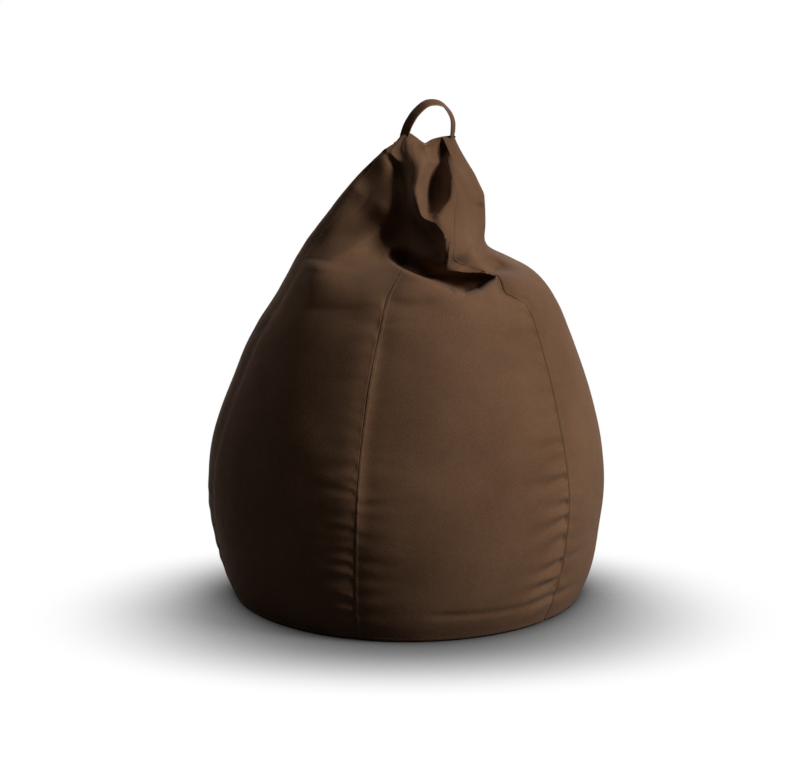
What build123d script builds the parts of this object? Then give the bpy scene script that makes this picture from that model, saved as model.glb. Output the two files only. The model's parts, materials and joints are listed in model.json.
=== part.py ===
from build123d import *
import os
from collections import namedtuple
from math import atan2, cos, degrees, radians, sin, sqrt

# Teardrop bean bag chair: six leatherette panels sewn round a flat base, slack and folded
# at the top, with a strap handle, a zip low at the back and a zipped liner full of beads.
# Millimetres and degrees. The origin is the centre of the base on the floor, +Z is up and
# the front faces -Y. A bearing is counted from the front, towards +X.

# Driving dimensions of the cover
leather = 1.5
base_radius = 372
zip_height = 20
skirt_height = 40
skirt_radius = 388
top_height = 942.5
top_centre = 31
crown_shift = 6
seam_bearings = {
    "front_left": -15,
    "front_right": 49,
    "right": 108,
    "rear": 167,
    "rear_left": 226,
    "left": 285,
}
panel_names = ["front", "right", "rear_right", "rear_left", "left", "front_left"]

# Driving dimensions of the seams
thread_width = 2.0
thread_proud = 0.8
thread_sink = 0.7

# Driving dimensions of the carry handle
strap_width = 20
strap_thickness = 3.5
handle_span = 110
handle_rise = 80
handle_offset = 6
left_shoulder = 18
right_shoulder = 23
handle_bend = 42
handle_turn = 25
handle_lean = 25
handle_clearance = 0.5
tail_length = 32
tack_size = 1.0
tack_count = 3

# Driving dimensions of the two zips
zip_arc = 90
tape_width = 15
tape_thickness = 0.8
tape_gap = 0.3
tooth_width = 2.8
tooth_depth = 2.2
tooth_gap = 1.4
stop_length = 4
window_width = 12
window_depth = 8
slider_length = 14
slider_width = 10
slider_plate = 1.5
slider_clearance = 0.3
fin_thickness = 0.8
bar_radius = 0.8
bar_height = 2.5
pull_length = 24
pull_width = 7
pull_thickness = 1.2
eye_width = 4
eye_radius = 1.9
eye_clearance = 0.05

# Driving dimensions of the liner, whose zip has no pull so that a child can't open it, and
# of its beads
liner_cloth = 1.0
liner_inset = 12
liner_floor = 5
liner_top_height = 660
liner_top_radius = 235
bead_clearance = 1.0

# How far the cover stands out of its oval, or folds in where negative: a row for each panel in
# the order of panel_names, with a number at its first seam and at each quarter of its width.
smooth = ((0, 0, 0, 0),) * 6
plump = ((0, 2, 3, 2),) * 6
# The belly's shoulder, with the foot of the pocket under the lip
shoulder_folds = (
    (0, 2, -8, -26),
    (-10, 2, 3, 2),
    (0, 1, 0, -2),
    (-3, -2, 1, 2),
    (0, 2, 3, 2),
    (0, -2, -6, -4),
)
# The belly's crest on the left and the pocket under the lip on the right
pocket_folds = (
    (-25, -7, -40, -64),
    (-36, -14, -3, -3),
    (0, -6, -12, -14),
    (-14, -12, -8, -4),
    (0, 2, 2, 2),
    (0, -4, -16, -27),
)
# The valley that starts behind the crest, and the lip that hangs over the pocket
lip_folds = (
    (-66, -26, 33, 22),
    (6, -2, -1, 0),
    (0, 4, 8, 8),
    (8, 6, 0, -4),
    (-2, -2, 0, 0),
    (-4, -18, -66, -84),
)
# The nose with its steep left flank, the flat left side and the hollow right side
nose_folds = (
    (-60, -22, 38, 22),
    (8, -5, -8, 1),
    (0, -6, -6, -16),
    (-4, 6, -4, -12),
    (-6, -7, -4, 0),
    (-7, -32, -82, -82),
)
# The bridge of the nose, where the flank, the left side and the tip of the upper hollow meet
bridge_folds = (
    (-27, 12, 12, 11),
    (2, -5, -8, 1),
    (0, -6, -8, -18),
    (-4, 7, -4, -13),
    (-8, -9, -4, 0),
    (-10, -38, -46, -50),
)
# The groove on the left of the nose and the hollow on its right
groove_folds = (
    (-12, -6, -22, 8),
    (6, 0, -6, -3),
    (0, -4, -8, -16),
    (-6, 5, -4, -12),
    (-7, -8, -4, 0),
    (-8, -36, -42, -34),
)
# The same two folds, gathered under the crown
gather_folds = (
    (-14, -18, -21, -12),
    (2, 0, -3, -2),
    (0, 0, -2, -8),
    (-4, 2, -6, -8),
    (-4, -5, -3, 0),
    (-5, -24, -32, -24),
)
crown_folds = (
    (0, -6, -9, -6),
    (0, -1, -2, -1),
    (0, -1, -2, -1),
    (0, -3, -4, -3),
    (0, -1, -2, -1),
    (0, -2, -3, -2),
)

# The oval at each height: its centre along X, its half width, its half depth, its twist and
# its folds
Station = namedtuple("Station", "height centre half_width half_depth twist folds")
skirt_mid = (base_radius + skirt_radius) / 2
stations = [
    Station(leather, 0, base_radius, base_radius, 0, smooth),
    Station(zip_height, 0, skirt_mid, skirt_mid, 0, smooth),
    Station(skirt_height, 0, skirt_radius, skirt_radius, 0, smooth),
    Station(130, -3, 407, 404, 0, plump),
    Station(223, -3, 415, 411, 0, plump),
    Station(332, -1, 404, 400, 0, plump),
    Station(461, 4, 365, 362, 0, plump),
    Station(568, 8, 320, 317, 0, plump),
    Station(631, 13, 284, 284, 0, plump),
    Station(672, 9, 256, 254, 0, shoulder_folds),
    Station(700, -4, 227, 222, 0, pocket_folds),
    Station(735, -25, 188, 176, 2, lip_folds),
    Station(776, -14, 171, 146, 6, nose_folds),
    Station(817, 3, 152, 120, 10, bridge_folds),
    Station(858, 14, 131, 97, 15, groove_folds),
    Station(899, 22, 101, 70, 20, gather_folds),
    Station(top_height, top_centre + crown_shift, 75, 43, handle_turn, crown_folds),
]


def axis_at(height):
    """The line that every seam plane holds, at a height."""
    return Vector(top_centre * height / top_height, 0)


def outward(bearing):
    """Unit vector away from the axis at a bearing."""
    return Vector(sin(radians(bearing)), -cos(radians(bearing)))


def oval_point(station, bearing, inset=0, push=0):
    """Where a bearing crosses the station's oval, drawn in by inset and moved out by push."""
    start = axis_at(station.height)
    ray = outward(bearing)
    p = (start - Vector(station.centre, 0)).rotate(Axis.Z, -station.twist)
    q = ray.rotate(Axis.Z, -station.twist)
    a = station.half_width - inset
    b = station.half_depth - inset
    square = (q.X / a) ** 2 + (q.Y / b) ** 2
    half = p.X * q.X / a**2 + p.Y * q.Y / b**2
    rest = (p.X / a) ** 2 + (p.Y / b) ** 2 - 1
    reach = (-half + sqrt(half**2 - square * rest)) / square
    return start + ray * (reach + push)


def panel_bearings(index):
    """The bearings of a panel's two seams, the second one always the larger."""
    bearings = list(seam_bearings.values())
    first = bearings[index]
    second = bearings[(index + 1) % len(bearings)]
    return first, second if second > first else second + 360


def panel_edge(station, index, inset):
    """Five points across a folded panel, from its first seam to its second."""
    first, second = panel_bearings(index)
    following = station.folds[(index + 1) % len(panel_names)]
    pushes = [*station.folds[index], following[0]]
    quarter = (second - first) / 4
    points = []
    for step, push in enumerate(pushes):
        points.append(oval_point(station, first + step * quarter, inset, push))
    return points


def outline_section(station, height, inset):
    """The whole closed outline of the cover at a station, drawn in by inset, at a height."""
    with BuildSketch(Plane.XY.offset(height)) as section:
        with BuildLine():
            for index in range(len(panel_names)):
                Spline(*panel_edge(station, index, inset))
        make_face()
    return section.sketch


def at_bearing(bearing):
    """Upright plane through the Z axis at a bearing: its x is the radius and its y is up."""
    ray = outward(bearing)
    return Plane((0, 0, 0), x_dir=ray, z_dir=ray.cross(Vector(0, 0, 1)))


def save(builder, name):
    builder.part.label = name
    export_step(builder.part, f"parts/{name}.step")


os.makedirs("parts", exist_ok=True)

# The cone that the cover follows just above the floor, where the zips lie
skirt_slope = degrees(atan2(skirt_radius - base_radius, skirt_height - leather))
zip_bearing = seam_bearings["rear"]
zip_start = zip_bearing + zip_arc / 2


def on_skirt(along, proud, inset):
    """Radius and height of a point on the skirt: along its slope from the zip's middle line,
    and proud of its surface, which is drawn in by inset."""
    slope = radians(skirt_slope)
    radius = skirt_mid - inset + along * sin(slope) + proud * cos(slope)
    return radius, zip_height + along * cos(slope) - proud * sin(slope)


def window_section(inset, wall):
    """Profile of the slot that shows the zip, at the start of its arc."""
    with BuildSketch(at_bearing(zip_start)) as section:
        with Locations(on_skirt(0, -wall / 2, inset)):
            Rectangle(window_depth, window_width, rotation=-skirt_slope)
    return section.sketch


# Cover panels, each lofted up the height of the bag
for index, name in enumerate(panel_names):
    with BuildPart() as panel:
        for station in stations:
            with BuildSketch(Plane.XY.offset(station.height)):
                with BuildLine():
                    outer = Spline(*panel_edge(station, index, 0))
                    inner = Spline(*panel_edge(station, index, leather))
                    Line(outer @ 0, inner @ 0)
                    Line(outer @ 1, inner @ 1)
                make_face()
        loft()
        if name in ("rear_right", "rear_left"):
            slot = window_section(0, leather)
            revolve(slot, axis=Axis.Z, revolution_arc=-zip_arc, mode=Mode.SUBTRACT)
    save(panel, f"{name}_panel")

# Round base that lies on the floor
with BuildPart() as base_panel:
    with BuildSketch():
        Circle(base_radius)
    extrude(amount=leather)
save(base_panel, "base_panel")

# Thread along each panel seam, sunk into the two panels that it joins. At the rear it stops
# above the zip.
for index, (name, bearing) in enumerate(seam_bearings.items()):
    lowest = 2 if name == "rear" else 0
    with BuildPart() as seam_thread:
        for station in stations[lowest:]:
            seam = oval_point(station, bearing, 0, station.folds[index][0])
            seam_plane = Plane((seam.X, seam.Y, station.height), x_dir=outward(bearing))
            with BuildSketch(seam_plane):
                with Locations(((thread_proud - thread_sink) / 2, 0)):
                    Rectangle(thread_proud + thread_sink, thread_width)
        loft()
    save(seam_thread, f"seam_thread_{name}")

# Thread round the base seam
with BuildPart() as base_thread:
    with BuildSketch(at_bearing(0)):
        with Locations((base_radius + thread_proud / 2, leather / 2)):
            Rectangle(thread_proud, leather * 0.8)
    revolve(axis=Axis.Z)
save(base_thread, "seam_thread_base")

# Carry handle: its ends, its hinge line and the plane that its loop lies in
span_line = Vector(1, 0).rotate(Axis.Z, handle_turn)
across = Vector(0, 1).rotate(Axis.Z, handle_turn)
cap_top = top_height + leather
hinge_height = cap_top + strap_width / 2 + handle_clearance
handle_middle = Vector(top_centre + crown_shift, 0, hinge_height) + span_line * handle_offset
handle_ends = [handle_middle + span_line * (side * handle_span / 2) for side in (-1, 1)]
loop_normal = across.rotate(Axis((0, 0, 0), span_line), handle_lean)
loop_plane = Plane(handle_ends[0], x_dir=span_line, z_dir=-loop_normal)
tail_centres = [Vector(end.X, end.Y) for end in handle_ends]

with BuildPart() as carry_handle:
    with BuildLine(loop_plane) as strap_line:
        FilletPolyline(
            (0, 0),
            (left_shoulder, handle_rise),
            (handle_span - right_shoulder, handle_rise),
            (handle_span, 0),
            radius=handle_bend,
        )
    start_plane = Plane(strap_line.line @ 0, x_dir=loop_normal, z_dir=strap_line.line % 0)
    with BuildSketch(start_plane):
        Rectangle(strap_width, strap_thickness)
    sweep(path=strap_line.line)
    for place in (0, 1):
        along_strap = strap_line.line % place
        end_plane = Plane(
            strap_line.line @ place, x_dir=loop_normal, z_dir=loop_normal.cross(along_strap)
        )
        with BuildSketch(end_plane):
            Circle(strap_width / 2)
        extrude(amount=strap_thickness / 2, both=True)
save(carry_handle, "carry_handle")

# Tails of the strap, sewn in below the cap
for side, centre in zip(("left", "right"), tail_centres):
    tail_plane = Plane((centre.X, centre.Y, cap_top), x_dir=span_line)
    with BuildPart() as strap_tail:
        with BuildSketch(tail_plane):
            Rectangle(strap_thickness, strap_width)
        extrude(amount=-tail_length)
    save(strap_tail, f"handle_tail_{side}")

# Cap that closes the top, with a slot for each tail
with BuildPart() as top_cap:
    extrude(outline_section(stations[-1], top_height, 0), amount=leather)
    for centre in tail_centres:
        with BuildSketch(Plane((centre.X, centre.Y, cap_top), x_dir=span_line)):
            Rectangle(strap_thickness, strap_width)
        extrude(amount=-leather, mode=Mode.SUBTRACT)
save(top_cap, "top_cap")

# Bar tacks across the tails, on the faces that look at each other
with BuildPart() as bar_tacks:
    tack_step = (tail_length - leather) / (tack_count + 1)
    for side, centre in zip((1, -1), tail_centres):
        face_middle = centre + span_line * (side * strap_thickness / 2)
        tail_face = Plane(
            (face_middle.X, face_middle.Y, top_height),
            x_dir=across,
            z_dir=span_line * side,
        )
        down = -1 if tail_face.y_dir.Z > 0 else 1
        for tack in range(tack_count):
            with BuildSketch(tail_face):
                with Locations((0, down * tack_step * (tack + 1))):
                    Rectangle(strap_width - 4 * tack_size, tack_size)
            extrude(amount=tack_size)
save(bar_tacks, "handle_bar_tacks")


def sew_zip(owner, inset, wall, has_pull):
    """Makes the pieces of one zip, behind the slot in a wall whose face is drawn in by inset."""
    tape_face = -wall - tape_gap
    tape_middle = tape_face - tape_thickness / 2
    tooth_middle = tape_face + tooth_depth / 2
    tape_arc = zip_arc + degrees(2 * stop_length / skirt_mid)
    tape_start = zip_bearing + tape_arc / 2
    tooth_arc = zip_arc - degrees(2 * stop_length / skirt_mid)
    tooth_start = zip_bearing + tooth_arc / 2
    rest_bearing = tooth_start - degrees(slider_length / skirt_mid)

    for side, name in ((1, "upper"), (-1, "lower")):
        with BuildPart() as tape:
            with BuildSketch(at_bearing(tape_start)):
                with Locations(on_skirt(side * (tooth_gap + tape_width) / 2, tape_middle, inset)):
                    Rectangle(tape_thickness, tape_width, rotation=-skirt_slope)
            revolve(axis=Axis.Z, revolution_arc=-tape_arc)
        save(tape, f"{owner}_zip_tape_{name}")

        with BuildPart() as teeth:
            with BuildSketch(at_bearing(tooth_start)):
                with Locations(on_skirt(side * (tooth_gap + tooth_width) / 2, tooth_middle, inset)):
                    RectangleRounded(tooth_depth, tooth_width, 0.6, rotation=-skirt_slope)
            revolve(axis=Axis.Z, revolution_arc=-tooth_arc)
        save(teeth, f"{owner}_zip_teeth_{name}")

    stop_arc = degrees(stop_length / skirt_mid)
    with BuildPart() as stops:
        for stop_start in (tooth_start + stop_arc, zip_bearing - tooth_arc / 2):
            for side in (1, -1):
                with BuildSketch(at_bearing(stop_start)):
                    with Locations(on_skirt(side * (tooth_gap + tooth_width) / 2, tooth_middle, inset)):
                        Rectangle(tooth_depth, tooth_width, rotation=-skirt_slope)
                revolve(axis=Axis.Z, revolution_arc=-stop_arc)
    save(stops, f"{owner}_zip_stops")

    # Slider: a plate on each side of the teeth, joined by a fin that runs between the rows
    outer_plate = tape_face + tooth_depth + slider_clearance + slider_plate / 2
    inner_plate = tape_face - tape_thickness - slider_clearance - slider_plate / 2
    bar_middle = outer_plate + slider_plate / 2 + bar_height
    lug_gap = eye_width / 2 + slider_clearance
    lug_width = (slider_width / 2 - lug_gap) * 0.75
    rest_plane = at_bearing(rest_bearing)
    with BuildPart() as slider:
        with BuildSketch(rest_plane):
            for plate in (outer_plate, inner_plate):
                with Locations(on_skirt(0, plate, inset)):
                    Rectangle(slider_plate, slider_width, rotation=-skirt_slope)
            with Locations(on_skirt(0, (outer_plate + inner_plate) / 2, inset)):
                Rectangle(outer_plate - inner_plate, fin_thickness, rotation=-skirt_slope)
        extrude(amount=slider_length / 2, both=True)
        bar_centre = rest_plane.from_local_coords(Vector(*on_skirt(0, bar_middle, inset)))
        up_slope = Vector(*on_skirt(1, bar_middle, inset)) - Vector(*on_skirt(0, bar_middle, inset))
        bar_line = rest_plane.from_local_coords(up_slope) - rest_plane.origin
        if has_pull:
            with BuildSketch(rest_plane):
                for side in (1, -1):
                    lug_middle = (outer_plate + slider_plate / 2 + bar_middle + bar_radius) / 2
                    with Locations(on_skirt(side * (lug_gap + lug_width / 2), lug_middle, inset)):
                        Rectangle(bar_height + bar_radius, lug_width, rotation=-skirt_slope)
            extrude(amount=2 * bar_radius, both=True)
            with BuildSketch(Plane(bar_centre, z_dir=bar_line)):
                Circle(bar_radius)
            extrude(amount=lug_gap + lug_width / 2, both=True)
    save(slider, f"{owner}_zip_slider")

    reach = tooth_arc - degrees(2 * slider_length / skirt_mid)
    print(owner, "zip bar centre", bar_centre, "line", bar_line, "travel", round(reach, 2))
    if not has_pull:
        return

    # Pull: an eye round the slider's bar and a rounded tab that lies along the zip
    pull_plane = Plane(bar_centre, x_dir=rest_plane.z_dir, z_dir=bar_line)
    with BuildPart() as pull:
        with BuildSketch(pull_plane):
            Circle(eye_radius)
        extrude(amount=eye_width / 2, both=True)
        with BuildSketch(pull_plane):
            with Locations((pull_length / 2, 0)):
                Rectangle(pull_length, pull_thickness)
        extrude(amount=eye_width / 2, both=True)
        with BuildSketch(pull_plane):
            with Locations((pull_length * 0.6, 0)):
                Rectangle(pull_length * 0.8, pull_thickness)
        extrude(amount=pull_width / 2, both=True)
        with BuildSketch(pull_plane):
            Circle(bar_radius + eye_clearance)
        extrude(amount=eye_width, both=True, mode=Mode.SUBTRACT)
        tip_corners = pull.edges().filter_by(Axis(bar_centre, pull_plane.y_dir))
        tip_corners = tip_corners.sort_by(Axis(bar_centre, pull_plane.x_dir))[-2:]
        fillet(tip_corners, radius=pull_width * 0.35)
    save(pull, f"{owner}_zip_pull")


sew_zip("cover", 0, leather, True)
sew_zip("liner", liner_inset, liner_cloth, False)


# Liner: the cover's shape drawn in, from just above the base to a low dome over the beads
def liner_stations():
    inside = [s for s in stations if liner_floor < s.height < liner_top_height]
    flare = (skirt_radius - base_radius) / (skirt_height - leather)
    radius = base_radius + flare * (liner_floor - leather)
    floor = stations[0]._replace(height=liner_floor, half_width=radius, half_depth=radius)
    crown = Station(
        liner_top_height, inside[-1].centre, liner_top_radius, liner_top_radius, 0, plump
    )
    return [floor, *inside, crown]


def liner_sections(inset, floor, roof):
    """Outlines of the liner, drawn in by inset, between two heights."""
    sections = []
    for station in liner_stations():
        height = min(max(station.height, floor), roof)
        sections.append(outline_section(station, height, inset))
    return sections


with BuildPart() as liner_side:
    loft(liner_sections(liner_inset, liner_floor, liner_top_height))
    inside = liner_sections(liner_inset + liner_cloth, liner_floor, liner_top_height)
    loft(inside, mode=Mode.SUBTRACT)
    slot = window_section(liner_inset, liner_cloth)
    revolve(slot, axis=Axis.Z, revolution_arc=-zip_arc, mode=Mode.SUBTRACT)
save(liner_side, "liner_side")

for name, station, height in (
    ("liner_base", liner_stations()[0], liner_floor - liner_cloth),
    ("liner_top", liner_stations()[-1], liner_top_height),
):
    with BuildPart() as liner_end:
        end_section = outline_section(station, height, liner_inset)
        extrude(end_section, amount=liner_cloth)
    save(liner_end, name)

# Beads: the mass that fills the liner, clear of its zip
with BuildPart() as bead_fill:
    bead_inset = liner_inset + liner_cloth + 8 * bead_clearance
    bead_floor = liner_floor + bead_clearance
    loft(liner_sections(bead_inset, bead_floor, liner_top_height - bead_clearance))
save(bead_fill, "bead_fill")

print("handle hinge", handle_ends[0], handle_ends[1])
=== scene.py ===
import json
import math
import random
import bpy
import numpy as np
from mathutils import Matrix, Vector, noise
from mathutils.bvhtree import BVHTree


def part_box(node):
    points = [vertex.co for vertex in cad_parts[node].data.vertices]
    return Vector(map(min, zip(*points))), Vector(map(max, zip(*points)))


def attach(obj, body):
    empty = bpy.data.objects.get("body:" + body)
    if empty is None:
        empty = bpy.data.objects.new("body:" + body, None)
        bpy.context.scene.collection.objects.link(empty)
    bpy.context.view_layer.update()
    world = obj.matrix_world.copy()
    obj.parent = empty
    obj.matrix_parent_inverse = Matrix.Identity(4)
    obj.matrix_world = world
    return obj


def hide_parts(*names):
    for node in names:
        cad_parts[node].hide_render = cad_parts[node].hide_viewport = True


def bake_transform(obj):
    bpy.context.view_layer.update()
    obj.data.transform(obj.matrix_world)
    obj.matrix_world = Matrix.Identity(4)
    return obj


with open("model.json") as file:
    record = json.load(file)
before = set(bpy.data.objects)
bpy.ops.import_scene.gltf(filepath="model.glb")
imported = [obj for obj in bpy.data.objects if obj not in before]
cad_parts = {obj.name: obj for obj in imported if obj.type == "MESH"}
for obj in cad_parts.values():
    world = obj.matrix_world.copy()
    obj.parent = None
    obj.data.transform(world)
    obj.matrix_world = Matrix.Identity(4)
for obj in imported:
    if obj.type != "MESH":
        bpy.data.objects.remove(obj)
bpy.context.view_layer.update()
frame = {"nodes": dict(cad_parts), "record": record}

mm = 0.001
scene = bpy.context.scene
scene.view_settings.view_transform = "Standard"

# camera, at the height and distance that give the photograph's outline
cameraView = {
    "place": (-0.00815, -3.8, 1.25),
    "tiltDown": 12.064,
    "focalPixels": 1847,
    "picture": (807, 768),
    "sensor": 36,
}


def makeCamera():
    data = bpy.data.cameras.new("photoCamera")
    data.sensor_width = cameraView["sensor"]
    data.lens = cameraView["sensor"] * cameraView["focalPixels"] / cameraView["picture"][0]
    camera = bpy.data.objects.new("photoCamera", data)
    camera.location = cameraView["place"]
    camera.rotation_euler = (math.radians(90 - cameraView["tiltDown"]), 0, 0)
    scene.collection.objects.link(camera)
    scene.camera = camera


makeCamera()
print("camera set")

# node helpers: an input takes a value, or a link where the value is another node's output
def plug(socket, value):
    if isinstance(value, bpy.types.NodeSocket):
        socket.id_data.links.new(value, socket)
    else:
        socket.default_value = value


def setInputs(node, **inputs):
    for key, value in inputs.items():
        plug(node.inputs[key.replace("_", " ")], value)


def addNode(tree, kind, settings=None, **inputs):
    node = tree.nodes.new(kind)
    for key, value in (settings or {}).items():
        setattr(node, key, value)
    setInputs(node, **inputs)
    return node


def newFinish(name):
    finish = bpy.data.materials.new(name)
    finish.use_nodes = True
    return finish, finish.node_tree, finish.node_tree.nodes["Principled BSDF"]


def objectPlace(tree):
    return addNode(tree, "ShaderNodeTexCoord").outputs["Object"]


def colourRamp(tree, share, places, colours):
    ramp = addNode(tree, "ShaderNodeValToRGB", Fac=share)
    for element, place, colour in zip(ramp.color_ramp.elements, places, colours):
        element.position = place
        element.color = (*colour, 1)
    return ramp.outputs["Color"]


def mapRange(tree, value, before=(0, 1), after=(0, 1), curve="LINEAR"):
    node = addNode(tree, "ShaderNodeMapRange", {"interpolation_type": curve}, Value=value,
                   From_Min=before[0], From_Max=before[1], To_Min=after[0], To_Max=after[1])
    return node.outputs["Result"]


def mixColours(tree, share, first, second, blend="MIX"):
    mix = addNode(tree, "ShaderNodeMix", {"data_type": "RGBA", "blend_type": blend}, Factor=share)
    plug(mix.inputs[6], first)
    plug(mix.inputs[7], second)
    return mix.outputs[2]


def mixShaders(tree, share, first, second):
    mix = addNode(tree, "ShaderNodeMixShader", Fac=share)
    plug(mix.inputs[1], first)
    plug(mix.inputs[2], second)
    return mix.outputs["Shader"]


def maths(tree, operation, first, second, clamp=False):
    node = addNode(tree, "ShaderNodeMath", {"operation": operation, "use_clamp": clamp})
    plug(node.inputs[0], first)
    plug(node.inputs[1], second)
    return node.outputs["Value"]


def vectorMaths(tree, operation, *values):
    node = addNode(tree, "ShaderNodeVectorMath", {"operation": operation})
    for socket, value in zip(node.inputs, values):
        plug(socket, value)
    return node.outputs["Value" if operation == "LENGTH" else "Vector"]


def bumpFrom(tree, height, distance, strength, **under):
    bump = addNode(tree, "ShaderNodeBump", Strength=strength, Distance=distance, Height=height, **under)
    return bump.outputs["Normal"]


# leatherette of the cover: satin brown with a fine pebble grain
leatherLook = {
    "dark": (0.102, 0.0525, 0.028),
    "light": (0.145, 0.077, 0.0425),
    "tonePlaces": (0.30, 0.72),
    "patches": {"Scale": 5.0, "Detail": 5.0, "Roughness": 0.6},
    "grain": {"Scale": 620.0, "Randomness": 1.0},
    "grainWarp": {"Scale": 180.0, "Detail": 2.0},
    "warpReach": 0.0016,
    "pebble": (0.75, 0.15),
    "grainDepth": 0.00022,
    "grainStrength": 0.5,
    "valleyShade": 0.28,
    "creases": {"Scale": 48.0, "Detail": 6.0, "Roughness": 0.55},
    "creaseDepth": 0.0009,
    "creaseStrength": 0.35,
    "roughness": (0.62, 0.76),
    "shine": {"Specular_IOR_Level": 0.02, "Sheen_Weight": 0.03, "Sheen_Roughness": 0.5},
}


def leatherFinish():
    look = leatherLook
    finish, tree, shader = newFinish("brownLeatherette")
    place = objectPlace(tree)
    patches = addNode(tree, "ShaderNodeTexNoise", Vector=place, **look["patches"]).outputs["Fac"]
    tint = colourRamp(tree, patches, look["tonePlaces"], (look["dark"], look["light"]))
    warp = addNode(tree, "ShaderNodeTexNoise", Vector=place, **look["grainWarp"]).outputs["Color"]
    warped = vectorMaths(tree, "MULTIPLY_ADD", warp, (look["warpReach"],) * 3, place)
    grain = addNode(tree, "ShaderNodeTexVoronoi", Vector=warped, **look["grain"]).outputs["Distance"]
    pebble = mapRange(tree, grain, look["pebble"], curve="SMOOTHSTEP")
    creases = addNode(tree, "ShaderNodeTexNoise", Vector=place, **look["creases"]).outputs["Fac"]
    soft = bumpFrom(tree, creases, look["creaseDepth"], look["creaseStrength"])
    fine = bumpFrom(tree, pebble, look["grainDepth"], look["grainStrength"], Normal=soft)
    # painted shade in the grain: its valleys stay a little darker than its tops
    shaded = mixColours(tree, look["valleyShade"], tint, pebble, "MULTIPLY")
    rough = mapRange(tree, creases, after=look["roughness"])
    setInputs(shader, Base_Color=shaded, Roughness=rough, Normal=fine, **look["shine"])
    return finish


# thread, zip and liner finishes: a pattern of two tones with the same pattern raised
plainLooks = {
    "brownThread": {"pattern": "twist", "scale": 420.0, "depth": 0.0003, "rough": (0.55, 0.75),
                    "tones": [(0.032, 0.017, 0.010), (0.070, 0.040, 0.025)]},
    "zipTape": {"pattern": "weave", "scale": 260.0, "depth": 0.0003, "rough": (0.7, 0.88),
                "tones": [(0.020, 0.012, 0.008), (0.052, 0.031, 0.021)]},
    "zipCoil": {"pattern": "patches", "scale": 90.0, "depth": 0.00005, "rough": (0.32, 0.5),
                "tones": [(0.030, 0.019, 0.013), (0.055, 0.035, 0.025)]},
    "zipMetal": {"pattern": "patches", "scale": 160.0, "depth": 0.00008, "rough": (0.22, 0.46),
                 "tones": [(0.30, 0.27, 0.23), (0.56, 0.52, 0.46)], "metal": 1.0},
    "linerCloth": {"pattern": "weave", "scale": 150.0, "depth": 0.0003, "rough": (0.75, 0.9),
                   "tones": [(0.56, 0.55, 0.52), (0.70, 0.69, 0.66)]},
    "foamBeads": {"pattern": "beads", "scale": 210.0, "depth": 0.0016, "rough": (0.5, 0.7),
                  "tones": [(0.55, 0.55, 0.54), (0.84, 0.84, 0.83)]},
    "strapEdge": {"pattern": "patches", "scale": 140.0, "depth": 0.0002, "rough": (0.6, 0.78),
                  "tones": [(0.150, 0.050, 0.022), (0.245, 0.088, 0.040)]},
}
patternShape = {"weaveWobble": 0.4, "twistWobble": 0.5, "beadEdge": 0.8, "patchDetail": 4.0,
                "tonePlaces": (0.25, 0.75), "strength": 0.6}


def bands(tree, place, direction, scale, wobble):
    settings = {"wave_type": "BANDS", "bands_direction": direction}
    wave = addNode(tree, "ShaderNodeTexWave", settings, Vector=place, Scale=scale, Distortion=wobble)
    return wave.outputs["Fac"]


def patternHeight(tree, kind, scale):
    shape = patternShape
    place = objectPlace(tree)
    if kind == "weave":
        warp, weft = (bands(tree, place, way, scale, shape["weaveWobble"]) for way in ("X", "Z"))
        return maths(tree, "MULTIPLY", warp, weft)
    if kind == "twist":
        return bands(tree, place, "DIAGONAL", scale, shape["twistWobble"])
    if kind == "beads":
        cells = addNode(tree, "ShaderNodeTexVoronoi", Vector=place, Scale=scale)
        return mapRange(tree, cells.outputs["Distance"], (0, shape["beadEdge"]), (1, 0))
    patches = addNode(tree, "ShaderNodeTexNoise", Vector=place, Scale=scale, Detail=shape["patchDetail"])
    return patches.outputs["Fac"]


def plainFinish(name):
    look = plainLooks[name]
    finish, tree, shader = newFinish(name)
    height = patternHeight(tree, look["pattern"], look["scale"])
    tint = colourRamp(tree, height, patternShape["tonePlaces"], look["tones"])
    bump = bumpFrom(tree, height, look["depth"], patternShape["strength"])
    rough = mapRange(tree, height, after=look["rough"][::-1])
    setInputs(shader, Base_Color=tint, Normal=bump, Roughness=rough, Metallic=look.get("metal", 0.0))
    return finish


leather = leatherFinish()
plain = {name: plainFinish(name) for name in plainLooks}
print("finishes made")

# the cover: how its panels, seams and rows of points are laid out, in millimetres and degrees
coverPlan = {
    "panels": ["front", "right", "rear_right", "rear_left", "left", "front_left"],
    "seams": {"front_left": -15, "front_right": 50, "right": 108,
              "rear": 167, "rear_left": 226, "left": 285},
    "hem": 1.5,
    "crown": 942.5,
    "axisTop": 31,
    "slot": (14.46, 25.54),
    "slotBearings": (122, 212),
    "slotEdge": 1.5,
    "slotSpan": 12,
    "slotSnap": 2,
    "neckFrom": 640,
    "neckTo": 800,
    "rowStep": 3.2,
    "neckStep": 2.0,
    "crownStep": 2.56,
    "edgeSteps": [0, 1.1, 2.2, 3.3, 4.6, 6.0, 7.4, 8.6, 9.8, 12, 15.5, 20],
    "edgeShare": 0.38,
    "middleColumns": 58,
    "roughColumns": 17,
    "farOut": 0.7,
    "thick": 1.4,
}

axisLean = coverPlan["axisTop"] / coverPlan["crown"]


def outward(bearing):
    return np.stack([np.sin(np.radians(bearing)), -np.cos(np.radians(bearing)), np.zeros_like(bearing)], -1)


def treeOf(names):
    points, faces = [], []
    for name in names:
        mesh = frame["nodes"][name].data
        start = len(points)
        points += [vertex.co.copy() for vertex in mesh.vertices]
        faces += [[start + i for i in face.vertices] for face in mesh.polygons]
    return BVHTree.FromPolygons(points, faces)


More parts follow.
